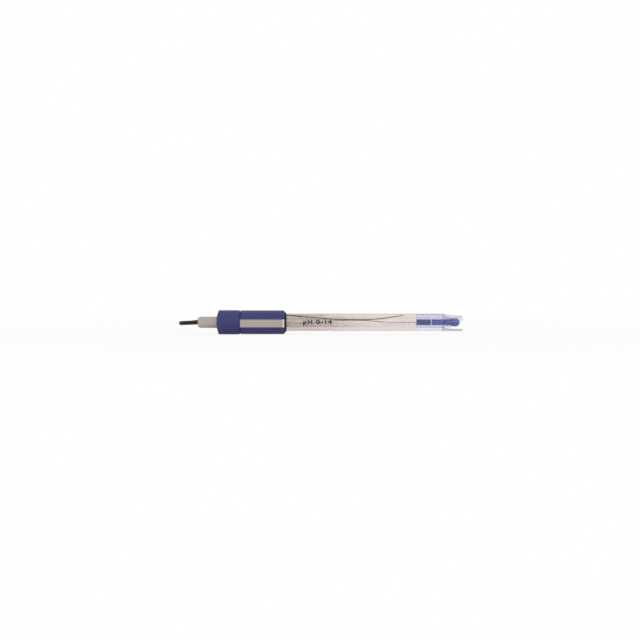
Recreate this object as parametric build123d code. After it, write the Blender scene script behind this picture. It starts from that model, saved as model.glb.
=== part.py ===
from build123d import *
import math
import os

# A pH electrode with a clear plastic shaft, lying on a bench with its axis level. Its thin lead turns back
# behind the head, is tied in a hank there, and ends in a bayonet plug. Lengths are in millimetres and angles in
# degrees. Pieces of the electrode are drawn round the X axis, with stations measured from the head's shoulder,
# + to the tip. Clock angles go round that axis, from 0 on the side that faces -Y to 90 at the top.

# Clearances
fixed_gap = 0.02  # round a piece that is fitted for good
running_gap = 0.05  # round the plug's collar, which turns
cut_over = 1.0  # how far a cutter runs past the face that it cuts
same_place = 0.01  # stations closer than this are one
bend_share = 0.45  # how much of the shorter run beside it a bend may take

# Clear shaft with its three guard prongs
shaft_d = 12.0
shaft_wall = 1.2
shaft_length = 120.0  # from the shoulder to the ends of the prongs
shaft_tail = 20.0  # what the head holds
shaft_tail_d = 11.5
shaft_step = 0.4  # how far in front of the seal ring the full width starts
guard_length = 13.6  # from the windows' roots to the ends of the prongs
prong_count = 3
prong_half_angle = 8.0  # half a prong's width at its free end
prong_clock = 18.0  # the first prong's place
prong_end_round = 0.5

# Inner glass tube and sensing bulb
stem_d = 5.0
stem_wall = 1.0
stem_tail = 10.0  # how far it reaches back past the shoulder
bulb_d = 5.8
bulb_wall = 0.5
bulb_stand_out = 6.1  # from the plug's nose to the bulb's tip
bulb_neck_length = 1.4  # where the stem flares to the bulb

# Tip plug, its ribbed nose and the junction
plug_length = 18.0
nose_length = 5.5
nose_d = 6.7
nose_ring_d = 7.5
nose_ring_width = 1.1
nose_ring_count = 3
nose_ring_pitch = 2.0
nose_first_ring = 0.7  # from the plug's face
junction_d = 0.8
junction_radius = 4.2  # from the electrode's axis
junction_clock = 78.0

# Fillings and wires
stopper_length = 9.8  # blue stopper in the stem
bubble_length = 1.4
inner_wire_d = 0.4
inner_wire_stand_out = 0.1  # past the plug's nose
reference_wire_d = 0.5
reference_lead_d = 0.8
solder_bead_d = 1.3
top_stopper_length = 10.0
top_stopper_face = 6.0  # how far behind the shoulder the gel ends

# Head
head_d = 16.2
head_length = 30.0
head_edge = 0.6  # chamfer next to the cap
head_end_edge = 0.3  # chamfer next to the seal ring
spigot_d = 14.0
spigot_length = 10.5
head_cavity_d = 10.0
inlay_width = 5.5
inlay_thickness = 0.57
inlay_floor = 6.85  # the groove's flat floor, from the axis
inlay_clock = -5.0
inlay_end_bevel = 1.0
seal_length = 1.5
seal_wide_d = 14.8
seal_narrow_d = 12.6
seal_lip_d = 13.4
seal_lip_length = 2.0
cap_d = 16.5
cap_length = 16.0
cap_wall = 4.45  # the rear wall
cap_cone_length = 1.3
cap_cone_d = 8.4
cap_cone_corner = 0.6
cap_line_width = 0.3  # fine line turned near the cap's front edge
cap_line_depth = 0.2
cap_line_place = 1.1
oring_section_d = 0.8
oring_groove_width = 1.0
oring_place = 1.5  # from the cap's front edge

# Lead and its strain relief
cable_d = 2.9
core_d = 1.0
sleeve_d = 7.7
sleeve_length = 12.8  # what stands out of the cap
sleeve_flange_d = 12.8
sleeve_flange_length = 1.0
sleeve_edge = 0.75
sleeve_edge_length = 1.5
clamp_d = 5.2
clamp_length = 3.5
lead_joint_d = 1.8
lead_joint_length = 6.0
bared_core_length = 10.4
potting_length = 14.0
exit_lap = 2.0  # how far the free lead reaches into the sleeve

# Hank of the put-away lead, and its ties
hank_turns_wide = 2
hank_layers = 4
hank_fold_radius = 9.0  # centre line of the inner turn
hank_run = 19.5  # straight stretch between the folds
hank_middle = -25.1  # station of its middle
hank_y = 23.0
tie_width = 4.0
tie_thickness = 0.5

# Bayonet plug, with stations from its mouth
plug_station = -48.0
plug_y = 45.4
collar_d = 14.5
collar_front_d = 12.6
collar_length = 13.5
collar_step = 7.6  # where the slotted front ends and the grip begins
collar_bore_d = 9.9
collar_edge = 0.4
collar_flange_place = 9.4
collar_flange_length = 1.2
flute_count = 20
flute_d = 1.0
slot_width = 2.4
slot_entry = 3.2  # straight way in before the ramp
slot_rise = 2.8
slot_turn = 75.0
slot_catch_d = 2.7
entry_depth_d = 11.5
contact_sleeve_d = 8.1
contact_sleeve_wall = 0.6
contact_sleeve_set_back = 1.0
contact_slit_width = 0.4
contact_slit_length = 4.5
contact_slit_count = 4
hub_d = 8.6
hub_place = 7.6
clip_place = 8.0
clip_thickness = 0.6
clip_d = 9.7
clip_groove_d = 7.9
clip_opening = 2.0
washer_thickness = 0.18
washer_dish = 0.55
shoulder_d = 10.8
shoulder_length = 2.5
rear_d = 10.0
rear_end = 15.1
crimp_neck_d = 6.0
crimp_neck_end = 22.0
gasket_thickness = 0.65
insulator_front = 4.2
insulator_back = 13.0
pin_d = 1.35
pin_set_back = 1.6
pin_shank_d = 2.0
pin_shank_place = 9.0
pin_back = 13.6
pin_cup_depth = 1.6
jacket_front = 15.0  # where the lead's jacket ends in the plug
ferrule_wall = 0.5
ferrule_length = 6.6
boot_d = 9.6
boot_end_d = 5.2
boot_place = 15.2
boot_end = 31.5
boot_straight = 2.0
boot_bore_end = 22.0
boot_groove_count = 4
boot_groove_pitch = 2.2
boot_groove_width = 0.9
boot_groove_depth = 0.6
boot_groove_place = 22.6

# Stations and radii that follow from the sizes above
shaft_radius = shaft_d / 2
shaft_bore = shaft_radius - shaft_wall
stem_radius = stem_d / 2
stem_bore = stem_radius - stem_wall
guard_root = shaft_length - guard_length
plug_back = guard_root - plug_length
nose_end = guard_root + nose_length
bulb_reach = nose_end + bulb_stand_out
inner_wire_end = nose_end + inner_wire_stand_out
stopper_end = plug_back + stopper_length
buffer_start = stopper_end + bubble_length
head_front = -seal_length
head_back = head_front - head_length
spigot_back = head_back - spigot_length
cap_back = head_back - cap_length
cap_floor = cap_back + cap_wall
sleeve_back = cap_back - sleeve_length
clamp_back = spigot_back
clamp_front = clamp_back + clamp_length
lead_joint_middle = clamp_front + bared_core_length
axis_height = max(cap_d, head_d) / 2
middle = (shaft_length + sleeve_back) / 2
cable_bore = cable_d / 2 + fixed_gap
hank_outer_radius = hank_fold_radius + (hank_turns_wide - 0.5) * cable_d
hank_eye_radius = hank_fold_radius - 0.5 * cable_d
hank_height = hank_layers * cable_d
plug_height = collar_d / 2

# Bends of the wires: (share of the way from the shoulder to the tip plug, y, z from the axis)
inner_wire_bends = [
    (0.136, 0, -0.6),
    (0.305, 0, 0.5),
    (0.452, 0, 1.05),
    (0.611, 0, 1.0),
    (0.735, 0, 0.1),
]
reference_wire_bends = [
    (0.226, -2.4, 2.75),
    (0.385, -3.35, 1.7),
    (0.611, -3.55, 1.65),
    (0.724, -3.2, 2.15),
    (0.803, -2.65, 3.05),
    (0.9, -1.3, 4.15),
]

# Routes: (station, y, z from the axis) for the reference lead, and (distance from the sleeve's end or from the
# hank's front end, y, height over the bench) for the cable's two free stretches
reference_lead_route = [
    (clamp_front + fixed_gap, 0, 2.03),
    (-33.5, 0, 2.4),
    (-28, -0.4, 3.75),
    (2, -0.5, 3.8),
    (9.6, -1.0, 3.3),
]
cable_route = [
    (exit_lap, 0, 8.25),
    (-4.7, 0, 8.25),
    (-10.7, 4.0, 8.15),
    (-12.8, 10.9, 8.0),
    (-10.1, 17.6, 7.9),
    (-3.8, 21.1, 7.9),
    (9.3, 18.9, 9.7),
    (18.8, 13.2, 10.6),
]
tail_route = [
    (-1.8, 28.9, 1.9),
    (-1.2, 34.2, 2.0),
    (-2.4, 39.6, 3.2),
    (-6.3, 43.8, 5.6),
    (-11.8, 45.4, 7.25),
    (-17.4, 45.4, 7.25),
]
cable_end_in_plug = 28.6  # station in the plug where the tail route stops


def turned(*outline):
    """A piece turned from an outline of (station, radius) points."""
    return revolve(make_face(Polyline(*outline, close=True)), Axis.X)


def tube(start, end, outer_radius, inner_radius=0.0):
    return turned((start, inner_radius), (start, outer_radius), (end, outer_radius), (end, inner_radius))


def at_clock(piece, clock):
    """Turns a piece drawn on top (clock angle 90) to another clock angle."""
    return Rot(X=90 - clock) * piece


def bulb_form(start, shank_radius, ball_radius, tip):
    """A round rod whose far end widens to a ball."""
    ball_middle = tip - ball_radius
    flare_end = nose_end + bulb_neck_length
    outline = Polyline((start, 0), (start, shank_radius), (nose_end, shank_radius))
    outline += Spline((nose_end, shank_radius), (flare_end, ball_radius), tangents=[(1, 0), (1, 0)])
    outline += Line((flare_end, ball_radius), (ball_middle, ball_radius))
    outline += CenterArc((ball_middle, 0), ball_radius, 0, 90)
    outline += Line((tip, 0), (start, 0))
    return revolve(make_face(outline), Axis.X)


def bend_radii(points):
    """The arc at each inner point of a route, from the shorter of the two runs beside it."""
    radii = []
    for before, here, after in zip(points, points[1:], points[2:]):
        way_in = Vector(here) - Vector(before)
        way_out = Vector(after) - Vector(here)
        half_turn = math.radians(way_in.get_angle(way_out)) / 2
        radii.append(bend_share * min(way_in.length, way_out.length) / math.tan(half_turn))
    return radii


def rod_along(points, radius):
    path = FilletPolyline(*points, radius=bend_radii(points))
    section = Plane(origin=path @ 0, z_dir=path % 0) * Circle(radius)
    return sweep(section, path=path)


def straightened(points):
    """A route without the points that lie in line, where a changed size has straightened it."""
    kept = [points[0]]
    for here, after in zip(points[1:], points[2:]):
        way_in = Vector(here) - Vector(kept[-1])
        way_out = Vector(after) - Vector(here)
        if way_in.get_angle(way_out) > same_place:
            kept.append(here)
    return kept + [points[-1]]


# Shaft

def window_outline(height):
    """One guard window, an arch open at the prongs' ends, at a height over the axis."""
    half_width = height * math.tan(math.radians(180 / prong_count - prong_half_angle))
    arch = EllipticalCenterArc((shaft_length, 0), guard_length, half_width, 90, arc_size=180)
    mouth_end = shaft_length + cut_over
    mouth = Polyline(arch @ 1, (mouth_end, -half_width), (mouth_end, half_width), arch @ 0)
    return Plane.XY.offset(height) * make_face(arch + mouth)


def shaft_tube():
    blank = turned(
        (-shaft_tail, shaft_bore),
        (-shaft_tail, shaft_tail_d / 2),
        (shaft_step, shaft_tail_d / 2),
        (shaft_step, shaft_radius),
        (shaft_length - prong_end_round, shaft_radius),
        (shaft_length, shaft_radius - prong_end_round),
        (shaft_length, shaft_bore),
    )
    window = loft([window_outline(cut_over), window_outline(shaft_d)], ruled=True)
    for index in range(prong_count):
        window_clock = prong_clock + (index + 0.5) * 360 / prong_count
        blank -= at_clock(window, window_clock)
    return blank


# Sensing stem

def glass_stem():
    bulb_bore = bulb_d / 2 - bulb_wall
    outside = bulb_form(-stem_tail, stem_radius, bulb_d / 2, bulb_reach)
    inside = bulb_form(-stem_tail, stem_bore, bulb_bore, bulb_reach - bulb_wall)
    return outside - inside


def inner_buffer():
    ball_radius = bulb_d / 2 - bulb_wall - fixed_gap
    tip = bulb_reach - bulb_wall - fixed_gap
    filling = bulb_form(buffer_start, stem_bore - fixed_gap, ball_radius, tip)
    return filling - tube(buffer_start - cut_over, inner_wire_end + fixed_gap, inner_wire_d / 2 + fixed_gap)


def buffer_stopper():
    return tube(plug_back, stopper_end, stem_bore - fixed_gap, inner_wire_d / 2 + fixed_gap)


def inner_wire_path():
    bends = [(share * plug_back, y, z) for share, y, z in inner_wire_bends]
    top = [(lead_joint_middle, 0, 0), (-top_stopper_face + 2, 0, 0)]
    return straightened(top + bends + [(plug_back - 2, 0, 0), (inner_wire_end, 0, 0)])


def inner_wire():
    return rod_along(inner_wire_path(), inner_wire_d / 2)


# Tip plug and reference half

def tip_plug():
    plug = tube(plug_back, guard_root, shaft_bore - fixed_gap)
    plug += tube(guard_root, nose_end, nose_d / 2)
    for index in range(nose_ring_count):
        ring_middle = guard_root + nose_first_ring + index * nose_ring_pitch
        plug += turned(
            (ring_middle - nose_ring_width / 2, 0),
            (ring_middle - nose_ring_width / 2, nose_d / 2),
            (ring_middle - nose_ring_width / 4, nose_ring_d / 2),
            (ring_middle + nose_ring_width / 4, nose_ring_d / 2),
            (ring_middle + nose_ring_width / 2, nose_d / 2),
            (ring_middle + nose_ring_width / 2, 0),
        )
    plug -= tube(plug_back - cut_over, nose_end + cut_over, stem_radius + fixed_gap)
    return plug - junction_rod(fixed_gap, cut_over)


def junction_rod(gap, lap):
    """The junction pin's form, wider by a gap and longer by a lap at both ends."""
    rod = tube(plug_back - lap, guard_root + lap, junction_d / 2 + gap)
    return at_clock(Pos(0, 0, junction_radius) * rod, junction_clock)


def junction_pin():
    return junction_rod(0, 0)


def reference_wire_path():
    bends = [(share * plug_back, y, z) for share, y, z in reference_wire_bends]
    return straightened(reference_lead_route[-1:] + bends)


def solder_bead(gap):
    return Pos(*reference_lead_route[-1]) * Sphere(solder_bead_d / 2 + gap)


def reference_lead():
    lead = rod_along(straightened(reference_lead_route), reference_lead_d / 2) + solder_bead(0)
    return lead - rod_along(reference_wire_path(), reference_wire_d / 2 + fixed_gap)


def reference_wire():
    return rod_along(reference_wire_path(), reference_wire_d / 2)


def top_stopper():
    back = -top_stopper_face - top_stopper_length
    stopper = tube(back, -top_stopper_face, shaft_bore - fixed_gap, inner_wire_d / 2 + fixed_gap)
    stopper -= tube(-stem_tail - fixed_gap, -top_stopper_face + cut_over, stem_radius + fixed_gap)
    return stopper - rod_along(straightened(reference_lead_route), reference_lead_d / 2 + fixed_gap)


def reference_gel():
    gel = tube(-top_stopper_face, plug_back, shaft_bore - fixed_gap, stem_radius + fixed_gap)
    gel -= rod_along(straightened(reference_lead_route), reference_lead_d / 2 + fixed_gap)
    gel -= solder_bead(fixed_gap)
    return gel - rod_along(reference_wire_path(), reference_wire_d / 2 + fixed_gap)


# Head

def head_body():
    radius = head_d / 2
    spigot_radius = spigot_d / 2
    tube_radius = shaft_tail_d / 2 + fixed_gap
    lip_radius = seal_lip_d / 2 + fixed_gap
    tube_end = -shaft_tail - fixed_gap
    lip_back = head_front - seal_lip_length - fixed_gap
    body = turned(
        (spigot_back, head_cavity_d / 2),
        (spigot_back, spigot_radius),
        (head_back, spigot_radius),
        (head_back, radius - head_edge),
        (head_back + head_edge, radius),
        (head_front - head_end_edge, radius),
        (head_front, radius - head_end_edge),
        (head_front, lip_radius),
        (lip_back, lip_radius),
        (lip_back, tube_radius),
        (tube_end, tube_radius),
        (tube_end, head_cavity_d / 2),
    )
    groove_width = inlay_width + 2 * fixed_gap
    groove = Box(head_length + cut_over, groove_width, radius, align=(Align.MIN, Align.CENTER, Align.MIN))
    body -= at_clock(Pos(head_back, 0, inlay_floor) * groove, inlay_clock)
    oring_middle = head_back - oring_place
    oring_root = spigot_radius + fixed_gap - oring_section_d
    return body - tube(
        oring_middle - oring_groove_width / 2,
        oring_middle + oring_groove_width / 2,
        spigot_radius + cut_over,
        oring_root,
    )


def grey_inlay():
    strip = Box(
        head_length - fixed_gap,
        inlay_width,
        inlay_thickness,
        align=(Align.MIN, Align.CENTER, Align.MIN),
    )
    strip = chamfer(strip.edges().filter_by(Axis.X).group_by(Axis.Z)[-1], inlay_thickness / 4)
    front_edge = strip.edges().filter_by(Axis.Y).group_by(Axis.Z)[-1].sort_by(Axis.X)[-1]
    top_face = strip.faces().sort_by(Axis.Z)[-1]
    strip = chamfer(front_edge, inlay_end_bevel, inlay_thickness / 2, reference=top_face)
    return at_clock(Pos(head_back + fixed_gap, 0, inlay_floor) * strip, inlay_clock)


def seal_ring():
    bore = shaft_tail_d / 2 + fixed_gap
    lip_back = head_front - seal_lip_length
    return turned(
        (lip_back, bore),
        (lip_back, seal_lip_d / 2),
        (head_front, seal_lip_d / 2),
        (head_front, seal_wide_d / 2),
        (0, seal_narrow_d / 2),
        (0, bore),
    )


def head_cap():
    radius = cap_d / 2
    front = head_back - fixed_gap
    bore = spigot_d / 2 + fixed_gap
    hole = sleeve_d / 2 + fixed_gap
    line_place = front - cap_line_place
    cap = turned(
        (cap_back, hole),
        (cap_back, cap_cone_d / 2),
        (cap_back + cap_cone_length, radius),
        (front, radius),
        (front, bore),
        (cap_floor, bore),
        (cap_floor, hole),
    )
    rings = cap.edges().filter_by(GeomType.CIRCLE)
    cone_end = cap_back + cap_cone_length
    rim = [edge for edge in rings if abs(edge.center().X - cone_end) < same_place]
    cap = fillet(rim, cap_cone_corner)
    return cap - tube(line_place, line_place + cap_line_width, radius + cut_over, radius - cap_line_depth)


def cap_oring():
    section_radius = oring_section_d / 2
    ring_radius = spigot_d / 2 + fixed_gap - section_radius
    section = Pos(head_back - oring_place, ring_radius) * Circle(section_radius - fixed_gap / 2)
    return revolve(section, Axis.X)


# Lead entry in the head

def cable_sleeve():
    radius = sleeve_d / 2
    flange_radius = sleeve_flange_d / 2
    flange_back = cap_floor + fixed_gap
    flange_front = flange_back + sleeve_flange_length
    return turned(
        (sleeve_back, cable_bore),
        (sleeve_back, radius - sleeve_edge),
        (sleeve_back + sleeve_edge_length, radius),
        (flange_back, radius),
        (flange_back, flange_radius),
        (flange_front, flange_radius),
        (flange_front, cable_bore),
    )


def cable_clamp():
    return tube(clamp_back, clamp_front, clamp_d / 2, cable_bore)


def cable_head_end():
    jacket = tube(sleeve_back + exit_lap, clamp_front, cable_d / 2)
    return jacket + tube(clamp_front, lead_joint_middle - fixed_gap, core_d / 2)


def lead_joint():
    back = lead_joint_middle - lead_joint_length / 2
    front = lead_joint_middle + lead_joint_length / 2
    radius = lead_joint_d / 2
    core_radius = core_d / 2 + fixed_gap
    wire_radius = inner_wire_d / 2 + fixed_gap
    joint = tube(back, lead_joint_middle, radius, core_radius)
    return joint + tube(lead_joint_middle, front, radius, wire_radius)


def potting():
    back = clamp_front + 2 * fixed_gap
    joint_back = lead_joint_middle - lead_joint_length / 2 - fixed_gap
    joint_front = lead_joint_middle + lead_joint_length / 2 + fixed_gap
    front = back + potting_length
    filling = tube(back, front, head_cavity_d / 2 - fixed_gap)
    filling -= tube(back - cut_over, joint_back + cut_over, core_d / 2 + fixed_gap)
    filling -= tube(joint_back, joint_front, lead_joint_d / 2 + fixed_gap)
    filling -= tube(joint_front - cut_over, front + cut_over, inner_wire_d / 2 + fixed_gap)
    return filling - rod_along(straightened(reference_lead_route), reference_lead_d / 2 + fixed_gap)


# Lead on the bench

def route_from(origin_station, points):
    return [(origin_station + distance, y, height) for distance, y, height in points]


def lead_stretch(name, points):
    """A free stretch of the lead, whose bends and length are printed."""
    stretch = rod_along(points, cable_d / 2)
    length = stretch.volume / (math.pi * cable_d**2 / 4)
    path_length = FilletPolyline(*points, radius=bend_radii(points)).length
    print(name, "bend radii", [round(radius, 1) for radius in bend_radii(points)])
    print(name, "length", round(path_length, 1), "and by its volume", round(length, 1))
    return stretch


def cable():
    return lead_stretch("lead", route_from(sleeve_back, cable_route))


def cable_tail():
    return lead_stretch("tail", route_from(hank_middle + hank_run / 2 + hank_outer_radius, tail_route))


def cable_hank():
    outside = SlotCenterToCenter(hank_run, 2 * hank_outer_radius)
    eye = SlotCenterToCenter(hank_run, 2 * hank_eye_radius)
    hank = extrude(outside - eye, hank_height)
    rims = hank.edges().group_by(Axis.Z)
    hank = fillet(rims[0] + rims[-1], cable_d / 2 - fixed_gap)
    return Pos(hank_middle, hank_y, tie_thickness) * hank


def hank_ties():
    """Two bands, one round each side of the hank."""
    bundle_width = hank_outer_radius - hank_eye_radius
    inner_width = bundle_width + 2 * fixed_gap
    inner_height = hank_height + fixed_gap
    outer_width = inner_width + 2 * tie_thickness
    outer_height = inner_height + 2 * tie_thickness
    outside = RectangleRounded(outer_width, outer_height, cable_d / 2)
    inside = RectangleRounded(inner_width, inner_height, cable_d / 2 - tie_thickness)
    band = extrude(Plane.YZ * (outside - inside), tie_width / 2, both=True)
    bundle_middle = (hank_outer_radius + hank_eye_radius) / 2
    band_height = tie_thickness + inner_height / 2
    places = [hank_y - bundle_middle, hank_y + bundle_middle]
    return Compound(children=[Pos(hank_middle, y, band_height) * band for y in places])


# Bayonet plug

def at_plug(piece):
    return Pos(plug_station, plug_y, plug_height) * piece


def bayonet_slot():
    """One slot for a lug: a straight way in, a ramp through the wall, and a round catch at its end."""
    wall_middle = (collar_bore_d + collar_front_d) / 4
    pitch = slot_rise * 360 / slot_turn
    ramp = Helix(pitch, slot_rise, wall_middle, center=(slot_entry, 0, 0), direction=(1, 0, 0))
    start = ramp @ 0
    outward = Vector(0, start.Y, start.Z).normalized()
    section_plane = Plane(origin=start, x_dir=outward, z_dir=ramp % 0)
    ramp_cut = sweep(section_plane * Rectangle(collar_d / 2, slot_width), path=ramp, is_frenet=True)
    start_clock = math.degrees(math.atan2(start.Z, start.Y))
    end = ramp @ 1
    end_clock = math.degrees(math.atan2(end.Z, end.Y))
    entry = Box(
        slot_entry + cut_over,
        entry_depth_d / 2,
        slot_width,
        align=(Align.MIN, Align.MIN, Align.CENTER),
    )
    entry = Rot(X=start_clock) * (Pos(-cut_over, 0, 0) * entry)
    catch = extrude(Plane.XZ * Circle(slot_catch_d / 2), -collar_d)
    catch = Pos(slot_entry + slot_rise, 0, 0) * (Rot(X=end_clock) * catch)
    return ramp_cut + entry + catch


def plug_collar():
    bore = collar_bore_d / 2
    grip = collar_d / 2
    front = collar_front_d / 2
    flange_back = collar_flange_place + collar_flange_length
    collar = turned(
        (0, bore + collar_edge),
        (0, front - collar_edge),
        (collar_edge, front),
        (collar_step, front),
        (collar_step + grip - front, grip),
        (collar_length - collar_edge, grip),
        (collar_length, grip - collar_edge),
        (collar_length, shoulder_d / 2 + running_gap),
        (flange_back, shoulder_d / 2 + running_gap),
        (flange_back, hub_d / 2 + running_gap),
        (collar_flange_place, hub_d / 2 + running_gap),
        (collar_flange_place, bore),
        (collar_edge, bore),
    )
    slot = bayonet_slot()
    collar -= slot
    collar -= Rot(X=180) * slot
    flute_length = collar_length - collar_step
    flute = Rot(Y=90) * Cylinder(flute_d / 2, flute_length + cut_over)
    flute = Pos(collar_step + flute_length / 2, 0, grip) * flute
    for index in range(flute_count):
        collar -= Rot(X=(index + 0.5) * 360 / flute_count) * flute
    return at_plug(collar)


def plug_body():
    sleeve_radius = contact_sleeve_d / 2
    cavity = sleeve_radius - contact_sleeve_wall
    shoulder_front = collar_flange_place + collar_flange_length + running_gap
    shoulder_back = shoulder_front + shoulder_length
    body = turned(
        (contact_sleeve_set_back, cavity),
        (contact_sleeve_set_back, sleeve_radius),
        (hub_place, sleeve_radius),
        (hub_place, hub_d / 2),
        (shoulder_front, hub_d / 2),
        (shoulder_front, shoulder_d / 2),
        (shoulder_back, shoulder_d / 2),
        (shoulder_back, rear_d / 2),
        (rear_end, rear_d / 2),
        (rear_end, crimp_neck_d / 2),
        (crimp_neck_end, crimp_neck_d / 2),
        (crimp_neck_end, cable_bore),
        (insulator_back + fixed_gap, cable_bore),
        (insulator_back + fixed_gap, cavity),
    )
    body -= tube(clip_place, clip_place + clip_thickness, shoulder_d, clip_groove_d / 2)
    slit = Box(
        contact_slit_length + cut_over,
        contact_slit_width,
        contact_sleeve_d,
        align=(Align.MIN, Align.CENTER, Align.MIN),
    )
    slit = Pos(contact_sleeve_set_back - cut_over, 0, 0) * slit
    for index in range(contact_slit_count):
        body -= Rot(X=index * 360 / contact_slit_count) * slit
    return at_plug(body)


def plug_gasket():
    back = hub_place
    return at_plug(
        tube(
            back - gasket_thickness,
            back,
            collar_bore_d / 2 - 2 * running_gap,
            contact_sleeve_d / 2 + fixed_gap,
        )
    )


def collar_clip():
    ring = tube(
        clip_place + fixed_gap,
        clip_place + clip_thickness - fixed_gap,
        clip_d / 2,
        clip_groove_d / 2 + fixed_gap,
    )
    opening = Box(clip_d, clip_opening, clip_d, align=(Align.CENTER, Align.CENTER, Align.MIN))
    return at_plug(ring - Pos(clip_place, 0, 0) * opening)


def spring_washer():
    inner = hub_d / 2 + running_gap
    outer = clip_d / 2
    front = clip_place + clip_thickness
    return at_plug(
        turned(
            (front + washer_dish, inner),
            (front + washer_dish + washer_thickness, inner),
            (front + washer_thickness, outer),
            (front, outer),
        )
    )


def plug_insulator():
    radius = contact_sleeve_d / 2 - contact_sleeve_wall - fixed_gap
    block = tube(insulator_front, insulator_back, radius, pin_d / 2 + fixed_gap)
    shank_hole = tube(pin_shank_place - fixed_gap, insulator_back + cut_over, pin_shank_d / 2 + fixed_gap)
    return at_plug(block - shank_hole)


def contact_pin():
    radius = pin_d / 2
    shank = pin_shank_d / 2
    pin = turned(
        (pin_set_back, 0),
        (pin_set_back, radius / 2),
        (pin_set_back + radius, radius),
        (pin_shank_place, radius),
        (pin_shank_place, shank),
        (pin_back, shank),
        (pin_back, 0),
    )
    return at_plug(pin - tube(pin_back - pin_cup_depth, pin_back + cut_over, core_d / 2 + fixed_gap))


def plug_ferrule():
    inner = crimp_neck_d / 2 + fixed_gap
    front = rear_end + fixed_gap
    return at_plug(tube(front, front + ferrule_length, inner + ferrule_wall, inner))


def cable_plug_end():
    jacket = tube(jacket_front, cable_end_in_plug, cable_d / 2)
    core = tube(pin_back - pin_cup_depth + fixed_gap, jacket_front, core_d / 2)
    return at_plug(jacket + core)


def plug_boot():
    ferrule_radius = crimp_neck_d / 2 + ferrule_wall + 2 * fixed_gap
    taper_start = boot_place + boot_straight
    boot = turned(
        (boot_place, ferrule_radius),
        (boot_place, boot_d / 2),
        (taper_start, boot_d / 2),
        (boot_end, boot_end_d / 2),
        (boot_end, cable_bore),
        (boot_bore_end, cable_bore),
        (boot_bore_end, ferrule_radius),
    )
    slope = (boot_d - boot_end_d) / 2 / (boot_end - taper_start)
    for index in range(boot_groove_count):
        front = boot_groove_place + index * boot_groove_pitch
        root = boot_d / 2 - slope * (front - taper_start) - boot_groove_depth
        boot -= tube(front, front + boot_groove_width, boot_d, root)
    return at_plug(boot)


on_axis = [
    shaft_tube,
    glass_stem,
    inner_buffer,
    buffer_stopper,
    inner_wire,
    tip_plug,
    junction_pin,
    reference_lead,
    reference_wire,
    reference_gel,
    top_stopper,
    head_body,
    grey_inlay,
    seal_ring,
    head_cap,
    cap_oring,
    cable_sleeve,
    cable_clamp,
    cable_head_end,
    lead_joint,
    potting,
]
on_bench = [
    cable,
    cable_hank,
    cable_tail,
    hank_ties,
    plug_collar,
    plug_body,
    plug_gasket,
    collar_clip,
    spring_washer,
    plug_insulator,
    contact_pin,
    plug_ferrule,
    cable_plug_end,
    plug_boot,
]

os.makedirs("parts", exist_ok=True)
for builders, height in ((on_axis, axis_height), (on_bench, 0)):
    for builder in builders:
        export_step(Pos(-middle, 0, height) * builder(), f"parts/{builder.__name__}.step")
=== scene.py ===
import bmesh
import bpy
import math
import random
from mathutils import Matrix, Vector


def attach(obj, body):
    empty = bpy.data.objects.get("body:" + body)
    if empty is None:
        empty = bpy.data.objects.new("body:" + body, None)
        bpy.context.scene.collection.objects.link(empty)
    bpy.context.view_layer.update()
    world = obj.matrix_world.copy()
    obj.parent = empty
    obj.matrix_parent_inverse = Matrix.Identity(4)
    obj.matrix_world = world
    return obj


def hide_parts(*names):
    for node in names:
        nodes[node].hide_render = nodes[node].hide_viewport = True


# A pH electrode lying level on a pale bench, seen from the side by a long lens.
# Stations are millimetres along the electrode from the head's shoulder, + to the tip. Other sizes are
# millimetres too where no comment says otherwise. Clock angles are 0 on the camera's side and 90 on top.

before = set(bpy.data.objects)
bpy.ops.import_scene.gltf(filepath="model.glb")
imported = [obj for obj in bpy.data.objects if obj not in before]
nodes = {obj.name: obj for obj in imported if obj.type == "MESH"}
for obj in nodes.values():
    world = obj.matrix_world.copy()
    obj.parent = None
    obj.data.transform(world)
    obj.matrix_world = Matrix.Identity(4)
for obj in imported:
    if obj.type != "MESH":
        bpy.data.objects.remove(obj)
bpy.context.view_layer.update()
print("frame loaded,", len(nodes), "nodes")

mm = 0.001
layout = {
    "shoulder": 0.02985,  # metres from x = 0 back to the shoulder
    "axisHeight": 0.00825,  # metres from the bench up to the electrode's axis
    "gelBack": -6.0,
    "plugBack": 88.4,  # where the tip plug starts and the gel ends
    "plugFront": 106.4,  # the plug's outer face, level with the windows' roots
}


def place(station, y, height):
    return Vector((station * mm - layout["shoulder"], y * mm, height * mm))


# Colour and node helpers

def toLinear(hexColour):
    parts = [int(hexColour[i:i + 2], 16) / 255 for i in (1, 3, 5)]
    return tuple([c / 12.92 if c <= 0.04045 else ((c + 0.055) / 1.055) ** 2.4 for c in parts] + [1.0])


def addNode(tree, kind, settings=None, inputs=None):
    node = tree.nodes.new(kind)
    for name, value in (settings or {}).items():
        setattr(node, name, value)
    for name, value in (inputs or {}).items():
        if isinstance(value, bpy.types.NodeSocket):
            tree.links.new(value, node.inputs[name])
        else:
            node.inputs[name].default_value = value
    return node


def newMaterial(name):
    material = bpy.data.materials.new(name)
    material.use_nodes = True
    tree = material.node_tree
    tree.nodes.clear()
    shader = addNode(tree, "ShaderNodeBsdfPrincipled")
    addNode(tree, "ShaderNodeOutputMaterial", None, {"Surface": shader.outputs["BSDF"]})
    return material, tree, shader


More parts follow.
